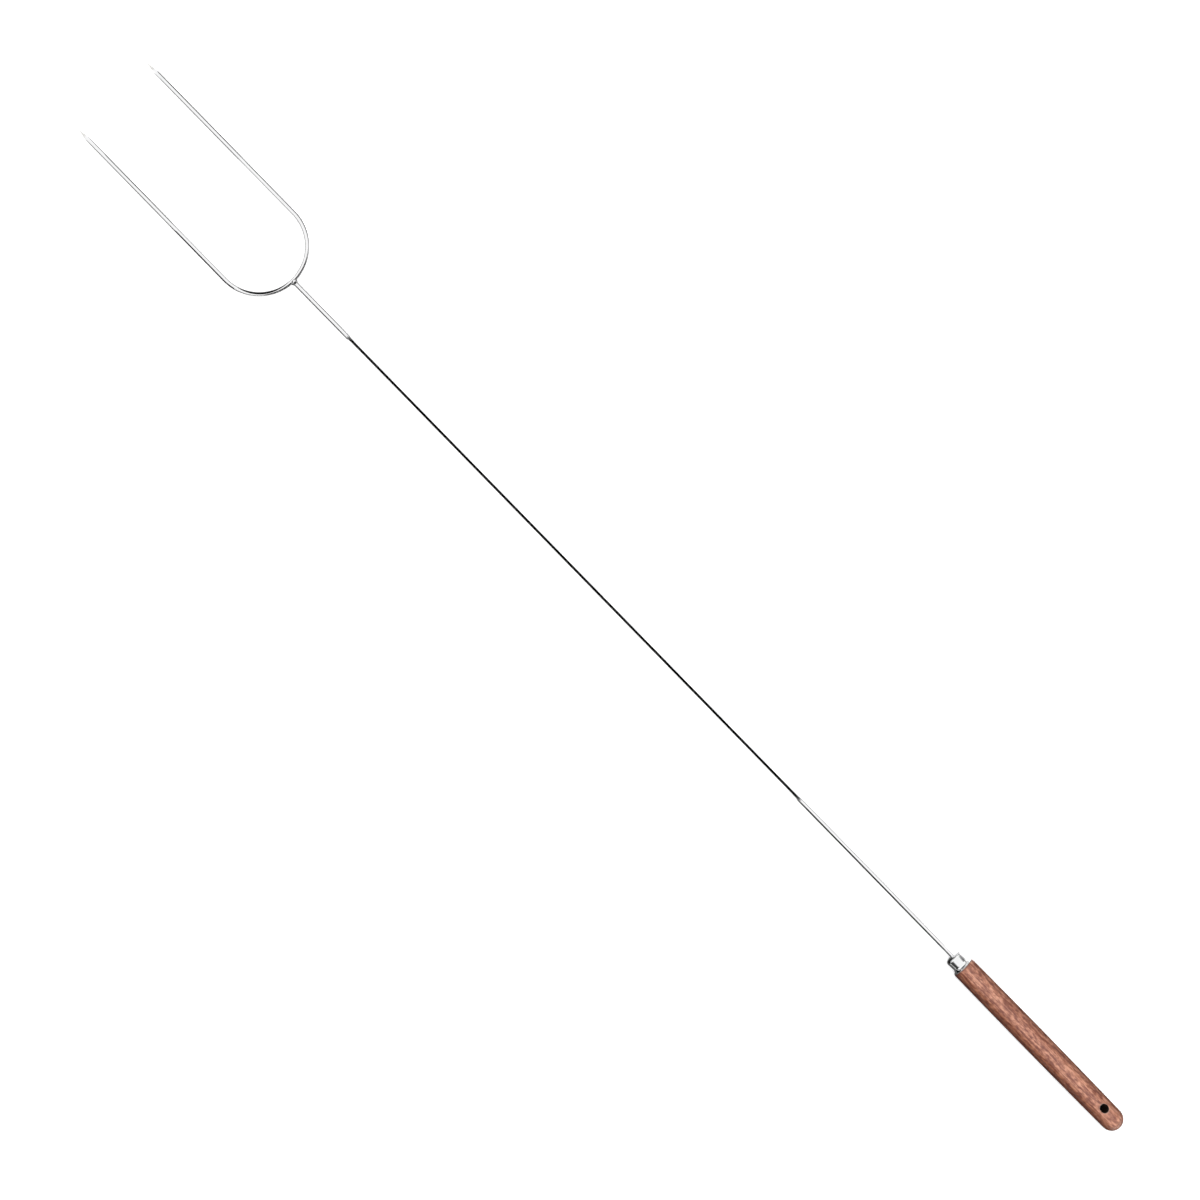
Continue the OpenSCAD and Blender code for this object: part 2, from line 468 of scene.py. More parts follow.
def prongPath(shape):  # from one tip round the bend to the other
    coneX = tipX - shape["pointLength"]
    rings = shape["pointRings"]
    cone = [tipX - shape["pointLength"] * (i / rings) ** 2 for i in range(rings)]  # closest at the tip
    edge = [coneX] + [coneX - behind for behind in shape["edgeRings"]]
    leg = steps(edge[-1], bendCentreX, round((edge[-1] - bendCentreX) / shape["legRing"]))[1:-1]
    prong = [(x, bendRadius, 0) for x in cone + edge + leg]
    bend = [(x, y, 0) for x, y in arc((bendCentreX, 0), bendRadius, 90, 270, shape["bendSteps"])]
    return prong + bend + [(x, -y, z) for x, y, z in reversed(prong)]


def makeWireTree():
    sizes = {
        "Wire radius": "Float",
        "Sides": "Int",
        "Point length": "Float",
        "Point end": "Float",
        "Finish": "Material",
    }
    graph, (line, radius, sides, pointLength, pointEnd, finish) = newTree("sweptWire", sizes)
    path = graph.add("GeometryNodeMeshToCurve", {}, {"Mesh": line})
    along = graph.add("GeometryNodeSplineParameter", {}, {}, "Length")
    fromTip = along.atMost(graph.add("GeometryNodeSplineLength", {}, {}, "Length") - along)
    cone = pointEnd + (radius - pointEnd) * (fromTip / pointLength).atMost(1)
    blunt = (1 - (1 - fromTip / pointEnd).atLeast(0) ** 2).root()  # rounds the very end
    ground = (pointLength - fromTip) / pointLook["blur"] + 0.5
    path = graph.add("GeometryNodeStoreNamedAttribute", {"data_type": "FLOAT"}, {
        "Geometry": path, "Name": "along", "Value": along})
    path = graph.add("GeometryNodeStoreNamedAttribute", {"data_type": "FLOAT"}, {
        "Geometry": path, "Name": "ground", "Value": ground.atMost(1).atLeast(0)})
    outline = graph.add("GeometryNodeCurvePrimitiveCircle", {}, {"Resolution": sides, "Radius": 1.0})
    spot = graph.vector("SCALE", graph.add("GeometryNodeInputPosition"), take="Vector")
    graph.tree.links.new(radius.socket, spot.socket.node.inputs["Scale"])
    outline = graph.add("GeometryNodeStoreNamedAttribute", {"data_type": "FLOAT_VECTOR"}, {
        "Geometry": outline, "Name": "spot", "Value": spot})
    swept = graph.add("GeometryNodeCurveToMesh", {}, {
        "Curve": path, "Profile Curve": outline, "Scale": cone * blunt})
    length = graph.add("GeometryNodeInputNamedAttribute", {"data_type": "FLOAT"}, {"Name": "along"})
    spot = graph.add("GeometryNodeInputNamedAttribute", {"data_type": "FLOAT_VECTOR"}, {"Name": "spot"})
    across = graph.split(spot)
    swept = graph.add("GeometryNodeStoreNamedAttribute", {"data_type": "FLOAT_VECTOR"}, {
        "Geometry": swept, "Name": "straight", "Value": graph.join(length, across[0], across[1])})
    merged = graph.add("GeometryNodeMergeByDistance", {}, {"Geometry": swept, "Distance": mergeGap})
    closeTree(graph, merged, finish)
    return graph


def makeProngWire():
    path = prongPath(prongShape)
    edges = [(i, i + 1) for i in range(len(path) - 1)]
    values = {
        "Wire radius": wireRadius,
        "Sides": prongShape["sides"],
        "Point length": prongShape["pointLength"],
        "Point end": prongShape["pointEnd"],
        "Finish": chromedWire,
    }
    mesh = grown(makeWireTree(), "prongWire", path, edges, values, 35)
    return pieceFromMesh("prongWire", mesh, "prong_wire")


prongWire = makeProngWire()


# The rod: bevelled and barbed at the end inside the handle, coped to the bend at the other

rodShape = {
    "sides": 64,
    "ring": 6 * mm,
    "barbCount": 2,
    "barbLength": 6 * mm,
    "barbWidth": 4.8 * mm,
    "barbThickness": 1.5 * mm,
    "barbSteps": 24,
    "weldGap": 0.03 * mm,
}


def barbHalfWidth(x, shape):  # a kite: widest near its prong end
    start = rodLow.x + rodRadius
    if not start < x < start + shape["barbCount"] * shape["barbLength"]:
        return 0
    into = (x - start) % shape["barbLength"]
    widest = shape["barbLength"] - rodRadius / 2
    rise = into / widest if into < widest else (shape["barbLength"] - into) / (shape["barbLength"] - widest)
    return rise * shape["barbWidth"] / 2


def rodPoint(x, radius, turn, shape):
    y, z = math.cos(turn), math.sin(turn)
    wing = min(barbHalfWidth(x, shape) / max(abs(y), 1e-6), shape["barbThickness"] / 2 / max(abs(z), 1e-6))
    reach = max(radius, wing) if radius else 0
    return min(x, saddleX(reach * y, reach * z, shape["weldGap"])), reach * y, reach * z


def gridFaces(rows, columns):  # closes each row of points into a ring and skins ring to ring
    return [
        (row * columns + column, row * columns + (column + 1) % columns,
         (row + 1) * columns + (column + 1) % columns, (row + 1) * columns + column)
        for row in range(rows - 1) for column in range(columns)
    ]


def ringFaces(a, b):  # skins one ring of points to the next
    return [(a[i], a[(i + 1) % len(a)], b[(i + 1) % len(a)], b[i]) for i in range(len(a))]


def makeShaftRod():
    shape = rodShape
    bevel = rodRadius / 3
    barbStart = rodLow.x + rodRadius
    barbEnd = barbStart + shape["barbCount"] * shape["barbLength"]
    rows = [(rodLow.x, 0), (rodLow.x, (rodRadius - bevel) / 2), (rodLow.x, rodRadius - bevel)]
    rows += [(rodLow.x + bevel, rodRadius)]
    rows += [(x, rodRadius) for x in steps(barbStart, barbEnd, shape["barbCount"] * shape["barbSteps"])]
    plain = steps(barbEnd, rodHigh.x, round((rodHigh.x - barbEnd) / shape["ring"]))[1:]
    rows += [(x, rodRadius) for x in plain]
    rows += [(rodHigh.x, rodRadius * share) for share in (0.75, 0.5, 0.25, 0)]
    turns = [math.tau * i / shape["sides"] for i in range(shape["sides"])]
    points = [rodPoint(x, radius, turn, shape) for x, radius in rows for turn in turns]
    mesh = bpy.data.meshes.new("shaftRod")
    mesh.from_pydata(points, [], gridFaces(len(rows), shape["sides"]))
    tidyMesh(mesh, 35)
    straight = mesh.attributes.new("straight", "FLOAT_VECTOR", "POINT")
    for vertex in mesh.vertices:
        straight.data[vertex.index].vector = vertex.co
    mesh.materials.append(chromedWire)
    return pieceFromMesh("shaftRod", mesh, "shaft_rod")


shaftRod = makeShaftRod()


# Turned metal: a profile of points (along X, out from X), carried round the long axis

def makeTurnTree():
    sizes = {
        "Turns": "Int",
        "Lump size": "Float",
        "Lump depth": "Float",
        "Bend gap": "Float",
        "Finish": "Material",
    }
    graph, (line, turns, lumpSize, lumpDepth, gap, finish) = newTree("turnedMetal", sizes)
    count = graph.add("GeometryNodeAttributeDomainSize", {"component": "MESH"}, {"Geometry": line})
    grid = graph.add("GeometryNodeMeshGrid", {}, {"Vertices X": count + 1, "Vertices Y": turns + 1})
    index = graph.add("GeometryNodeInputIndex")
    row = graph.calc("FLOOR", (index + 0.5) / (turns + 1))
    column = index - row * (turns + 1)
    profile = graph.add("GeometryNodeSampleIndex", {"data_type": "FLOAT_VECTOR"}, {
        "Geometry": line,
        "Value": graph.add("GeometryNodeInputPosition"),
        "Index": graph.calc("MODULO", row, count),
    })
    along, out, outer = graph.split(profile)
    angle = column / turns * math.tau
    x, y, z = along, graph.calc("COSINE", angle), graph.calc("SINE", angle)
    lumps = graph.noise(graph.join(x / lumpSize, y, z), 1.4, 1)
    radius = out - outer * (lumps * lumpDepth)
    y, z = y * radius, z * radius
    thick = ((wireRadius + gap) ** 2 - z * z).atLeast(0).root()
    saddle = bendCentreX - ((bendRadius + thick) ** 2 - y * y).root()
    placed = graph.add("GeometryNodeSetPosition", {}, {
        "Geometry": grid, "Position": graph.join(x.atMost(saddle), y, z)})
    merged = graph.add("GeometryNodeMergeByDistance", {}, {"Geometry": placed, "Distance": mergeGap})
    closeTree(graph, merged, finish)
    return graph


turnTree = makeTurnTree()


# The weld bead: swells out of the rod and rounds off on to the bend

weldShape = {
    "turns": 64,
    "rise": 16,
    "gap": 0.03 * mm,
    "lumpSize": 2.5 * mm,
    "lumpDepth": 0.4 * mm,
}


def makeWeldBead():
    shape = weldShape
    inner = rodRadius + shape["gap"]
    crestX = bendBottomX - wireRadius
    height = weldHigh.z - inner
    points = []
    for share in steps(0, 1, shape["rise"]):
        swell = (1 - math.cos(math.pi * share)) / 2
        points.append((weldLow.x + (crestX - weldLow.x) * share, inner + height * swell, swell))
    for x, out in arc((0, 0), 1, 90, 0, shape["rise"])[1:]:
        points.append((crestX + wireRadius * x, inner + height * out, out))
    points += [(x, inner, 0) for x in steps(crestX + wireRadius, weldLow.x, shape["rise"])[1:-1]]
    edges = [(i, i + 1) for i in range(len(points) - 1)]
    values = {
        "Turns": shape["turns"],
        "Lump size": shape["lumpSize"],
        "Lump depth": shape["lumpDepth"],
        "Bend gap": shape["gap"],
        "Finish": chromedWeld,
    }
    mesh = grown(turnTree, "weldBead", points, edges, values, 50)
    return pieceFromMesh("weldBead", mesh, "weld_bead")


weldBead = makeWeldBead()


# The ferrule: a pressed cap with a round nose, a neck and a skirt that flares on to the wood

ferruleShape = {
    "length": 11 * mm,
    "wall": 0.6 * mm,
    "noseRadius": 6.55 * mm,
    "noseEdge": 2.6 * mm,
    "neckRadius": 6.25 * mm,
    "flare": 3.2 * mm,
    "rimReach": 0.1 * mm,  # from the rim to the start of the wood's rounded shoulder
    "woodClear": 0.05 * mm,
    "holeClear": 0.1 * mm,
    "holeEdge": 0.22 * mm,
    "rimEdge": 0.16 * mm,
    "turns": 160,
}
handleShape = {
    "frontRadius": 8.5 * mm,
    "bellyRadius": 8.825 * mm,
    "tailRadius": 8.325 * mm,
    "bellyFromFront": 68 * mm,
    "shoulderEdge": 0.5 * mm,
    "boreClear": 0.03 * mm,
    "boreExtra": 3 * mm,
    "bevel": 0.8 * mm,
    "softEdge": 0.28 * mm,
    "columns": 128,
    "rowStep": 1.5 * mm,
    "patchRows": 12,  # rows and columns of the square round each mouth of the hole
    "patchColumns": 26,
    "patchLength": 12.6 * mm,
    "mouthRings": 4,  # from the square in to the rim of the hole
    "bevelRings": 5,  # over which the varnish gives way to bare wood
    "wallRings": 10,
}
shoulderX = noseX - ferruleShape["length"]
fitWall = ferruleShape["wall"] + ferruleShape["woodClear"]
flareRadius = ferruleShape["neckRadius"] + ferruleShape["flare"]
flareReach = flareRadius - handleShape["frontRadius"] + handleShape["shoulderEdge"] + ferruleShape["rimReach"]
flareAngle = math.degrees(math.acos(flareReach / (ferruleShape["flare"] + fitWall)))
flareX = shoulderX + (ferruleShape["flare"] + fitWall) * math.sin(math.radians(flareAngle))
noseCentre = (noseX - ferruleShape["noseEdge"], ferruleShape["noseRadius"] - ferruleShape["noseEdge"])


def flareArc(radius, fromNeck, count=16):  # the skirt's curve, as a wall of the ferrule or of the wood
    start, end = (0, flareAngle) if fromNeck else (flareAngle, 0)
    turns = [math.radians(angle) for angle in steps(start, end, count)]
    return [(flareX - radius * math.sin(turn), flareRadius - radius * math.cos(turn)) for turn in turns]


def noseArc(radius, fromNeck, count=16):  # the nose's rounded edge
    turns = [math.radians(angle) for angle in steps(0, 90, count)]
    x, out = noseCentre
    curve = [(x + radius * math.sin(turn), out + radius * math.cos(turn)) for turn in turns]
    return curve if fromNeck else curve[::-1]


def softCorners(points, sizes):  # rounds the corners whose numbers are given
    made = []
    for i, point in enumerate(points):
        if i not in sizes:
            made.append(point)
            continue
        here = Vector(point)
        ends = [Vector(points[i - 1]), Vector(points[(i + 1) % len(points)])]
        cuts = [here + (end - here).normalized() * min(sizes[i], (end - here).length * 0.45) for end in ends]
        made += [tuple(bow(cuts[0], here, cuts[1], share)) for share in steps(0, 1, 4)]
    return made


def makeFerrule():
    shape = ferruleShape
    holeRadius = rodRadius + shape["holeClear"]
    outer = flareArc(shape["flare"], False) + noseArc(shape["noseEdge"], True)
    inner = noseArc(shape["noseEdge"] - shape["wall"], False)
    inner += flareArc(shape["flare"] + shape["wall"], True)
    hole = [(noseX, holeRadius), (noseX - shape["wall"], holeRadius)]
    profile = outer + hole + inner
    corners = {
        0: shape["rimEdge"],
        len(outer): shape["holeEdge"],
        len(outer) + 1: shape["holeEdge"],
        len(profile) - 1: shape["rimEdge"],
    }
    points = [(x, out, 0) for x, out in softCorners(profile, corners)]
    edges = [(i, i + 1) for i in range(len(points) - 1)]
    values = {
        "Turns": shape["turns"],
        "Lump size": 1.0,
        "Lump depth": 0.0,
        "Bend gap": 0.0,
        "Finish": chromedFerrule,
    }
    mesh = grown(turnTree, "ferruleCap", points, edges, values, 60)
    return pieceFromMesh("ferruleCap", mesh, "ferrule")


ferruleCap = makeFerrule()


# The handle: turned wood with a spigot inside the ferrule, a bore for the tang and a hanging hole.
# Angles round it are measured from the hole's own axis, so both mouths lie in the middle of a square
# patch of the skin, which is replaced by rings that close in on the mouth.

holeRadius = mounts["hang_hole"]["dims"]["r_mm"] * mm
holeAxis = Vector(mounts["hang_hole"]["axis"])
holeSide = Vector((1, 0, 0)).cross(holeAxis)
bevelStart = mounts["hang_hole"]["dims"]["length_mm"] * mm / 2


def barrelRadius(x):  # two half parabolas that meet at the belly
    shape = handleShape
    behind = shoulderX - x
    if behind < shape["bellyFromFront"]:
        share, end = 1 - behind / shape["bellyFromFront"], shape["frontRadius"]
    else:
        toTail = shoulderX - handleLow.x - shape["tailRadius"] - shape["bellyFromFront"]
        share, end = (behind - shape["bellyFromFront"]) / toTail, shape["tailRadius"]
    return shape["bellyRadius"] - (shape["bellyRadius"] - end) * share ** 2


def aroundPoint(x, radius, angle):  # angles start at the hole's axis
    return Vector((x, 0, 0)) + radius * (math.cos(angle) * holeAxis + math.sin(angle) * holeSide)


def boreReach(x, angle):  # the bore's radius, wider where the barbs cut their groove
    shape = handleShape
    clear = shape["boreClear"]
    plain = rodRadius + clear
    if x < rodLow.x + rodRadius - clear:
        return plain
    toward = aroundPoint(0, 1, angle)
    slot = min((rodShape["barbWidth"] / 2 + clear) / max(abs(toward.y), 1e-6),
               (rodShape["barbThickness"] / 2 + clear) / max(abs(toward.z), 1e-6))
    return max(plain, slot)


def mouthRim(psi):  # where the bevel's cone leaves the barrel, as (t along the hole, r from its axis)
    t = bevelStart
    for _ in range(30):  # settles on the barrel's surface
        r = holeRadius + t - bevelStart
        t = math.sqrt(barrelRadius(r * math.cos(psi)) ** 2 - (r * math.sin(psi)) ** 2)
    return t, holeRadius + t - bevelStart


def mouthColumn(x, angle, side):  # points from the skin's patch edge to the hole's wall, on one side
    shape = handleShape
    middleRadius = barrelRadius(0)
    psi = math.atan2(middleRadius * angle, x)
    t, r = mouthRim(psi)
    rimX, rimAngle = r * math.cos(psi), math.atan2(r * math.sin(psi), t)
    span = math.hypot(x - rimX, middleRadius * (angle - rimAngle))
    soft = shape["softEdge"] / span

    def skin(share):  # share 0 at the patch's edge, 1 at the rim
        px, pa = x + (rimX - x) * share, angle + (rimAngle - angle) * share
        half = 0 if side > 0 else math.pi
        return aroundPoint(px, barrelRadius(px), half + side * pa)

    def inHole(along, out):
        return side * along * holeAxis + out * (math.cos(psi) * Vector((1, 0, 0)) + math.sin(psi) * holeSide)

    rings = [skin((1 - soft) * i / shape["mouthRings"]) for i in range(1, shape["mouthRings"] + 1)]
    rim, low = inHole(t, r), inHole(bevelStart, holeRadius)
    slope = (low - rim).length
    intoBevel = rim + (low - rim) * min(0.45, shape["softEdge"] / slope)
    outOfBevel = low + (rim - low) * min(0.45, shape["softEdge"] / slope)
    wall = inHole(bevelStart - shape["softEdge"], holeRadius)
    rings += [bow(rings[-1], rim, intoBevel, share) for share in (0.25, 0.5, 0.75, 1)]
    rings += [bow(outOfBevel, low, wall, share) for share in (0, 0.25, 0.5, 0.75, 1)]
    return rings


def makeHandle():
    shape = handleShape
    columns = shape["columns"]
    angles = [math.tau * i / columns for i in range(columns)]
    boreEnd = rodLow.x - shape["boreExtra"]
    slotX = rodLow.x + rodRadius - shape["boreClear"]
    spigotRadius = ferruleShape["neckRadius"] - fitWall
    spigotEdge = ferruleShape["noseEdge"] - fitWall
    tailCentre = handleLow.x + shape["tailRadius"]
    patchEnd = shape["patchLength"] / 2

    rows = []  # (x, radius, rawness) with no radius for the bore, which isn't round
    boreRadius = rodRadius + shape["boreClear"]
    rows += [(boreEnd, boreRadius * share, 1) for share in (0, 0.5)]
    rows += [(x, None, 1) for x in steps(boreEnd, slotX - 0.001 * mm, 4)]
    rows += [(x, None, 1) for x in steps(slotX, noseX - fitWall, 24)]
    nose = [(x, out) for x, out in noseArc(spigotEdge, False) if out < spigotRadius]
    nose += [(noseCentre[0], spigotRadius)]
    rows += [(x, out, 1) for x, out in nose]
    rows += [(x, out, 1) for x, out in flareArc(ferruleShape["flare"] + fitWall, True)]
    edge = arc((shoulderX - shape["shoulderEdge"], shape["frontRadius"] - shape["shoulderEdge"]),
               shape["shoulderEdge"], 0, 90, 8)
    rows += [(x, out, 0) for x, out in edge]
    barrelStart = shoulderX - shape["shoulderEdge"]
    barrelSteps = round((barrelStart - patchEnd) / shape["rowStep"])
    rows += [(x, barrelRadius(x), 0) for x in steps(barrelStart, patchEnd, barrelSteps)[1:]]
    patchTop = len(rows) - 1
    rows += [(x, barrelRadius(x), 0) for x in steps(patchEnd, -patchEnd, shape["patchRows"])[1:]]
    patchFoot = len(rows) - 1
    rows += [(x, barrelRadius(x), 0) for x in steps(-patchEnd, tailCentre, 3)[1:]]
    tail = arc((tailCentre, 0), shape["tailRadius"], 90, 180, 24)[1:]
    rows += [(x, max(out, 0), 0) for x, out in tail]

    points, rawness = [], []
    for x, radius, raw in rows:
        for angle in angles:
            points.append(aroundPoint(x, boreReach(x, angle) if radius is None else radius, angle))
            rawness.append(raw)
    half = shape["patchColumns"] // 2
    opened = set()
    for side in (0, columns // 2):
        for row in range(patchTop, patchFoot):
            opened.update((row, (side + k) % columns) for k in range(-half, half))
    faces = [
        face for number, face in enumerate(gridFaces(len(rows), columns))
        if (number // columns, number % columns) not in opened
    ]

    loop = [(patchTop, k) for k in range(-half, half)]  # once round the patch, as (row, column)
    loop += [(row, half) for row in range(patchTop, patchFoot)]
    loop += [(patchFoot, k) for k in range(half, -half, -1)]
    loop += [(row, -half) for row in range(patchFoot, patchTop, -1)]
    walls = []
    for side in (1, -1):
        middle = 0 if side > 0 else columns // 2
        ring = [row * columns + (middle + side * k) % columns for row, k in loop]
        stations = [mouthColumn(rows[row][0], math.tau * k / columns, side) for row, k in loop]
        for depth in range(len(stations[0])):
            fresh = list(range(len(points), len(points) + len(loop)))
            points += [column[depth] for column in stations]
            rawness += [max(0, min(1, (depth - shape["mouthRings"]) / shape["bevelRings"]))] * len(loop)
            faces += ringFaces(ring, fresh)
            ring = fresh
        walls.append(ring)
    ring = walls[0]
    for share in steps(0, 1, shape["wallRings"])[1:-1]:
        fresh = list(range(len(points), len(points) + len(loop)))
        points += [points[a].lerp(points[b], share) for a, b in zip(*walls)]
        rawness += [1] * len(loop)
        faces += ringFaces(ring, fresh)
        ring = fresh
    faces += ringFaces(ring, walls[1])

    mesh = bpy.data.meshes.new("turnedHandle")
    mesh.from_pydata(points, [], faces)
    rawWood = mesh.attributes.new("rawWood", "FLOAT", "POINT")
    rawWood.data.foreach_set("value", rawness)
    tidyMesh(mesh, 40)
    mesh.materials.append(varnishedWood)
    return pieceFromMesh("turnedHandle", mesh, "handle")


turnedHandle = makeHandle()


# The studio: a pale floor that the fork lies on, a broad key light overhead, and cards that only gloss
# can see. Chrome on white needs them: they draw the dark lines along the wire.

studio = {
    "floorSize": 40.0,
    "floorColour": (0.97, 0.97, 0.97, 1),
    "bounceColour": (0.40, 0.40, 0.40, 1),
    "floorGlow": (0.55, 0.55, 0.55, 1),  # keeps the shadow on the floor faint
    # painted shade under the hanging hole: a near-black disc and its radius
    "holeShadeColour": (0.01, 0.01, 0.01, 1),
    "holeShadeRadius": 1.9 * mm,
    "key": 2.9,
    "keySpread": 44.0,  # degrees across the key light
    "keyTilt": 9.0,  # degrees that it leans from overhead towards -Y
    "fill": 0.14,
    "shaftAngle": 134.32,  # degrees from the picture's right to the fork's points
    "lens": 85.0,
    "sensor": 36.0,
    "pictureWidth": 0.8465,  # metres of the fork's plane across the picture
    "aim": (0.5033, 0.0024, 0),
    "farReach": 0.6,  # from the long axis to the far cards
    "nearReach": 0.1,
    "bendReach": 18 * mm,
    "horizonReach": 6.0,
    "horizonHeight": 1.9,
    "horizonGrey": 0.22,
    "matLift": 0.3 * mm,
}
cameraHeight = studio["pictureWidth"] * studio["lens"] / studio["sensor"]

# Curved flags round the long axis: the stretch of the fork that shows them in metres along X, the angles
# from straight up towards +Y in degrees, and their grey
flags = {
    "bendFlagLeft": ((0.760, 0.838), (60, 92), 0.07),
    "bendFlagRight": ((0.760, 0.835), (-92, -68), 0.26),
    "heelFlagRight": ((0.835, 0.900), (-92, -74), 0.30),
    "prongFlagLeft": ((0.905, 0.945), (68, 92), 0.14),
    "prongFlagRight": ((0.900, 0.945), (-92, -68), 0.10),
    "tipFlagLeft": ((0.945, 0.988), (72, 92), 0.28),
    "tipFlagRight": ((0.945, 0.988), (-92, -64), 0.03),
    "rodFlagLeft": ((0.155, 0.304), (38, 92), 0.0),
    "ferruleFlagLeft": ((0.138, 0.155), (42, 92), 0.08),
    "ferruleFlagRight": ((0.138, 0.155), (-92, -58), 0.45),
    "handleFlagLeft": ((-0.060, 0.138), (48, 92), 0.02),
    "handleFlagRight": ((-0.060, 0.138), (-92, -48), 0.05),
}
# One more, close over the middle of the rod
nearFlags = {
    "crownFlag": ((0.304, 0.760), (-60, 60), 0.0),
}
# Flags that follow the bend, close over it: the bearings that they span from +X towards +Y, and the
# angles from straight up towards the inside of the bend, which narrow towards both ends
bendFlags = {
    "bendFlagLow": ((98, 174), (-24, 84), 0.0),
}
# Cards beside the wire, flat on the floor or standing on it: their ends in metres along X, their two
# long edges as (Y, height above the floor), and their grey
sideCards = {
    "bendMatLeft": ((0.760, 0.8145), (0, 0), (0.62, 0), 0.07),
    "bendMatRight": ((0.760, 0.8145), (-0.62, 0), (0, 0), 0.26),
    "heelMatOuterLeft": ((0.8145, 0.905), (0.034, 0), (0.062, 0), 0.02),
    "heelWallLeft": ((0.838, 0.905), (0.062, 0), (0.062, 0.030), 0.02),
    "heelMatInner": ((0.8145, 0.905), (-0.0335, 0), (0.0335, 0), 0.7),
    "heelMatOuterRight": ((0.8145, 0.905), (-0.066, 0), (-0.034, 0), 0.2),
    "heelWallRight": ((0.790, 0.905), (-0.066, 0), (-0.066, 0.022), 0.25),
    "prongMatOuterLeft": ((0.905, 0.990), (0.034, 0), (0.62, 0), 0.22),
    "prongMatInnerLeft": ((0.905, 0.990), (0, 0), (0.0335, 0), 0.04),
    "prongMatInnerRight": ((0.905, 0.990), (-0.0335, 0), (0, 0), 0.28),
    "prongMatOuterRight": ((0.905, 0.990), (-0.62, 0), (-0.034, 0), 0.04),
    "tipShadeLeft": ((0.994, 1.07), (0.010, 0), (0.010, 0.06), 1.0),
    "tipShadeRight": ((0.994, 1.07), (-0.060, 0), (-0.060, 0.06), 1.0),
    "rodMatLeft": ((0.155, 0.304), (0, 0), (0.62, 0), 0.0),
    "rodMatRight": ((0.155, 0.304), (-0.12, 0), (0, 0), 0.7),
    "ferruleMatLeft": ((0.136, 0.155), (0, 0), (0.12, 0), 0.12),
    "handleMat": ((-0.060, 0.136), (-0.12, 0), (0.12, 0), 0.03),
}


def floorZ(x):  # the floor rises a little, from the handle's belly to the prongs' points
    belly = (shoulderX - handleShape["bellyFromFront"], handleLow.z)
    point = (tipX - prongShape["pointLength"], -wireRadius)
    return belly[1] + (x - belly[0]) * (point[1] - belly[1]) / (point[0] - belly[0])


def stagePiece(name, points, faces, finish):
    mesh = bpy.data.meshes.new(name)
    mesh.from_pydata(points, [], faces)
    mesh.materials.append(finish)
    made = bpy.data.objects.new(name, mesh)
    bpy.context.scene.collection.objects.link(made)
    return made


def seenAsWhite(graph):  # 1 for the rays that see the background: camera, gloss and glass
    camera, gloss, glass = graph.add("ShaderNodeLightPath", {}, {}, (
        "Is Camera Ray", "Is Glossy Ray", "Is Transmission Ray"))
    return camera.atLeast(gloss).atLeast(glass)


def makeFloor():
    half = studio["floorSize"] / 2
    corners = [(x, y, floorZ(x)) for x, y in ((-half, -half), (half, -half), (half, half), (-half, half))]
    finish, graph = newFinish("paleFloor")
    seen = seenAsWhite(graph)
    closeFinish(graph, {
        "Base Color": graph.blend(seen, studio["bounceColour"], studio["floorColour"]),
        "Emission Color": graph.blend(seen, (0, 0, 0, 1), studio["floorGlow"]),
        "Emission Strength": 1.0,
        "Roughness": 1.0,
        "Specular IOR Level": 0.0,
    })
    stagePiece("floor", corners, [(0, 1, 2, 3)], finish)


def makeHoleShade():  # painted shade: a near-black disc on the floor where the camera looks through the hanging hole, so that the hole shows dark
    centreX = studio["aim"][0] * floorZ(0) / cameraHeight
    ring = arc((centreX, 0), studio["holeShadeRadius"], 0, 345, 23)
    points = [(x, y, floorZ(x) + studio["matLift"]) for x, y in ring]
    finish, graph = newFinish("paintedHoleShade")
    closeFinish(graph, {"Base Color": studio["holeShadeColour"], "Roughness": 1.0, "Specular IOR Level": 0.0})
    stagePiece("holeShade", points, [tuple(range(len(points)))], finish)


def makeWorld():
    world = bpy.data.worlds.new("whiteRoom")
    world.use_nodes = True
    world.node_tree.nodes.clear()
    graph = Graph(world.node_tree)
    strength = studio["fill"] + seenAsWhite(graph) * (1 - studio["fill"])
    light = graph.add("ShaderNodeBackground", {}, {"Color": (1, 1, 1, 1), "Strength": strength})
    graph.add("ShaderNodeOutputWorld", {}, {"Surface": light}, take=None)
    bpy.context.scene.world = world


def makeKeyLight():
    lamp = bpy.data.lights.new("keyLight", "SUN")
    lamp.energy = studio["key"]
    lamp.angle = math.radians(studio["keySpread"])
    key = bpy.data.objects.new("keyLight", lamp)
    key.rotation_euler = (math.radians(studio["keyTilt"]), 0, 0)
    key.visible_glossy = False  # gloss shows the white room and the cards instead
    bpy.context.scene.collection.objects.link(key)


def makeCard(name, points, faces, grey):  # seen by gloss alone
    finish, graph = newFinish(name)
    paint = graph.add("ShaderNodeEmission", {}, {"Color": (grey, grey, grey, 1)})
    graph.add("ShaderNodeOutputMaterial", {}, {"Surface": paint}, take=None)
    card = stagePiece(name, points, faces, finish)
    card.visible_camera = False
    card.visible_diffuse = False
    card.visible_shadow = False
    card.visible_transmission = False


def mirroredX(x, reach):  # where the wire at x looks, that far off, for the camera
    return x + reach * (x - studio["aim"][0]) / cameraHeight


def makeFlag(name, reach, stretch, sweep, grey, count=24):
    ends = [mirroredX(x, reach) for x in stretch]
    turns = [math.radians(angle) for angle in steps(*sweep, count)]
    points = [(x, reach * math.sin(turn), reach * math.cos(turn)) for turn in turns for x in ends]
    faces = [(i, i + 1, i + 3, i + 2) for i in range(0, len(points) - 2, 2)]
    makeCard(name, points, faces, grey)


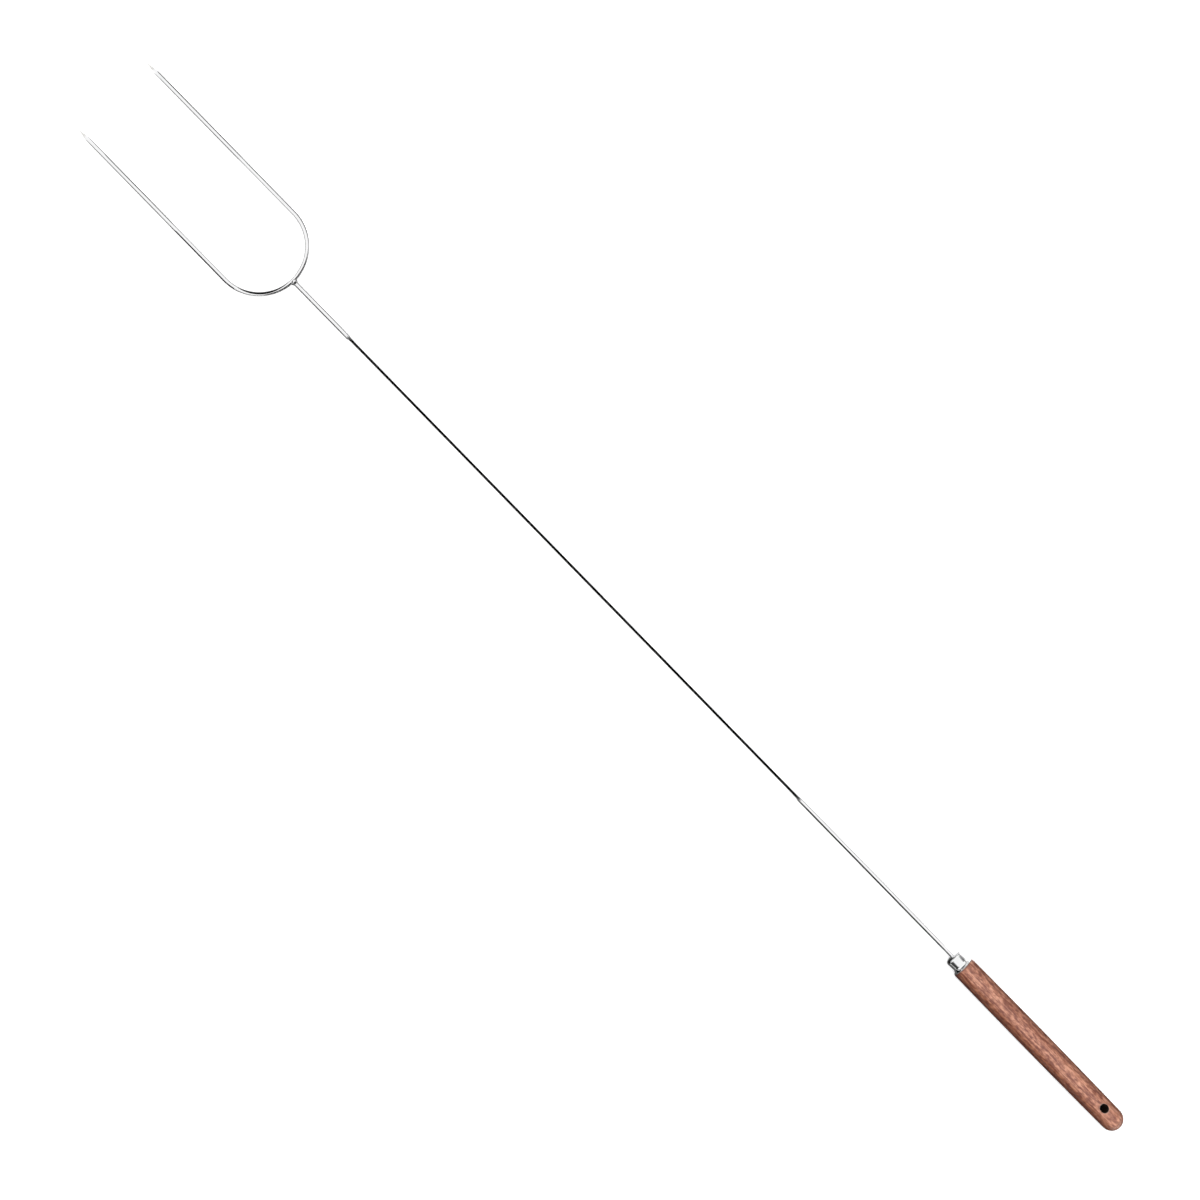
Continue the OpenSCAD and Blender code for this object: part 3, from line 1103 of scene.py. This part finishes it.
def makeBendFlag(name, reach, bearings, slopes, grey, count=16):
    points = []
    for bearing in steps(*bearings, count):
        turn = math.radians(bearing)
        share = (bearing - bearings[0]) / (bearings[1] - bearings[0])
        lowest = slopes[1] - (slopes[1] - slopes[0]) * (0.2 + 0.8 * math.sin(math.pi * share))
        for slope in steps(lowest, slopes[1], count):
            out = bendRadius - reach * math.sin(math.radians(slope))
            up = reach * math.cos(math.radians(slope))
            points.append((bendCentreX + out * math.cos(turn), out * math.sin(turn), up))
    corners = [row * (count + 1) + column for row in range(count) for column in range(count)]
    makeCard(name, points, [(i, i + 1, i + count + 2, i + count + 1) for i in corners], grey)


def makeSideCard(name, stretch, low, high, grey):
    points = []
    for x, (y, height) in ((stretch[0], low), (stretch[1], low), (stretch[1], high), (stretch[0], high)):
        points.append((x, y, floorZ(x) + studio["matLift"] + height))
    makeCard(name, points, [(0, 1, 2, 3)], grey)


def makeHorizon():  # a grey band round the room, which edges the wire from every side
    reach, height = studio["horizonReach"], studio["horizonHeight"]
    ring = arc((studio["aim"][0], 0), reach, 0, 360, 72)
    points = [(x, y, z) for x, y in ring for z in (handleLow.z, height)]
    faces = [(i, i + 2, i + 3, i + 1) for i in range(0, len(points) - 2, 2)]
    makeCard("horizonBand", points, faces, studio["horizonGrey"])


def makeCamera():
    lens = bpy.data.cameras.new("photoCamera")
    lens.lens = studio["lens"]
    lens.sensor_width = studio["sensor"]
    camera = bpy.data.objects.new("photoCamera", lens)
    x, y, z = studio["aim"]
    camera.location = (x, y, z + cameraHeight)
    camera.rotation_euler = (0, 0, -math.radians(studio["shaftAngle"]))
    bpy.context.scene.collection.objects.link(camera)
    bpy.context.scene.camera = camera


makeFloor()
makeHoleShade()
makeWorld()
makeKeyLight()
for cardName, shape in flags.items():
    makeFlag(cardName, studio["farReach"], *shape)
for cardName, shape in nearFlags.items():
    makeFlag(cardName, studio["nearReach"], *shape)
for cardName, shape in bendFlags.items():
    makeBendFlag(cardName, studio["bendReach"], *shape)
for cardName, shape in sideCards.items():
    makeSideCard(cardName, *shape)
makeHorizon()
makeCamera()
bpy.context.scene.view_settings.view_transform = "Standard"
print("studio ready")
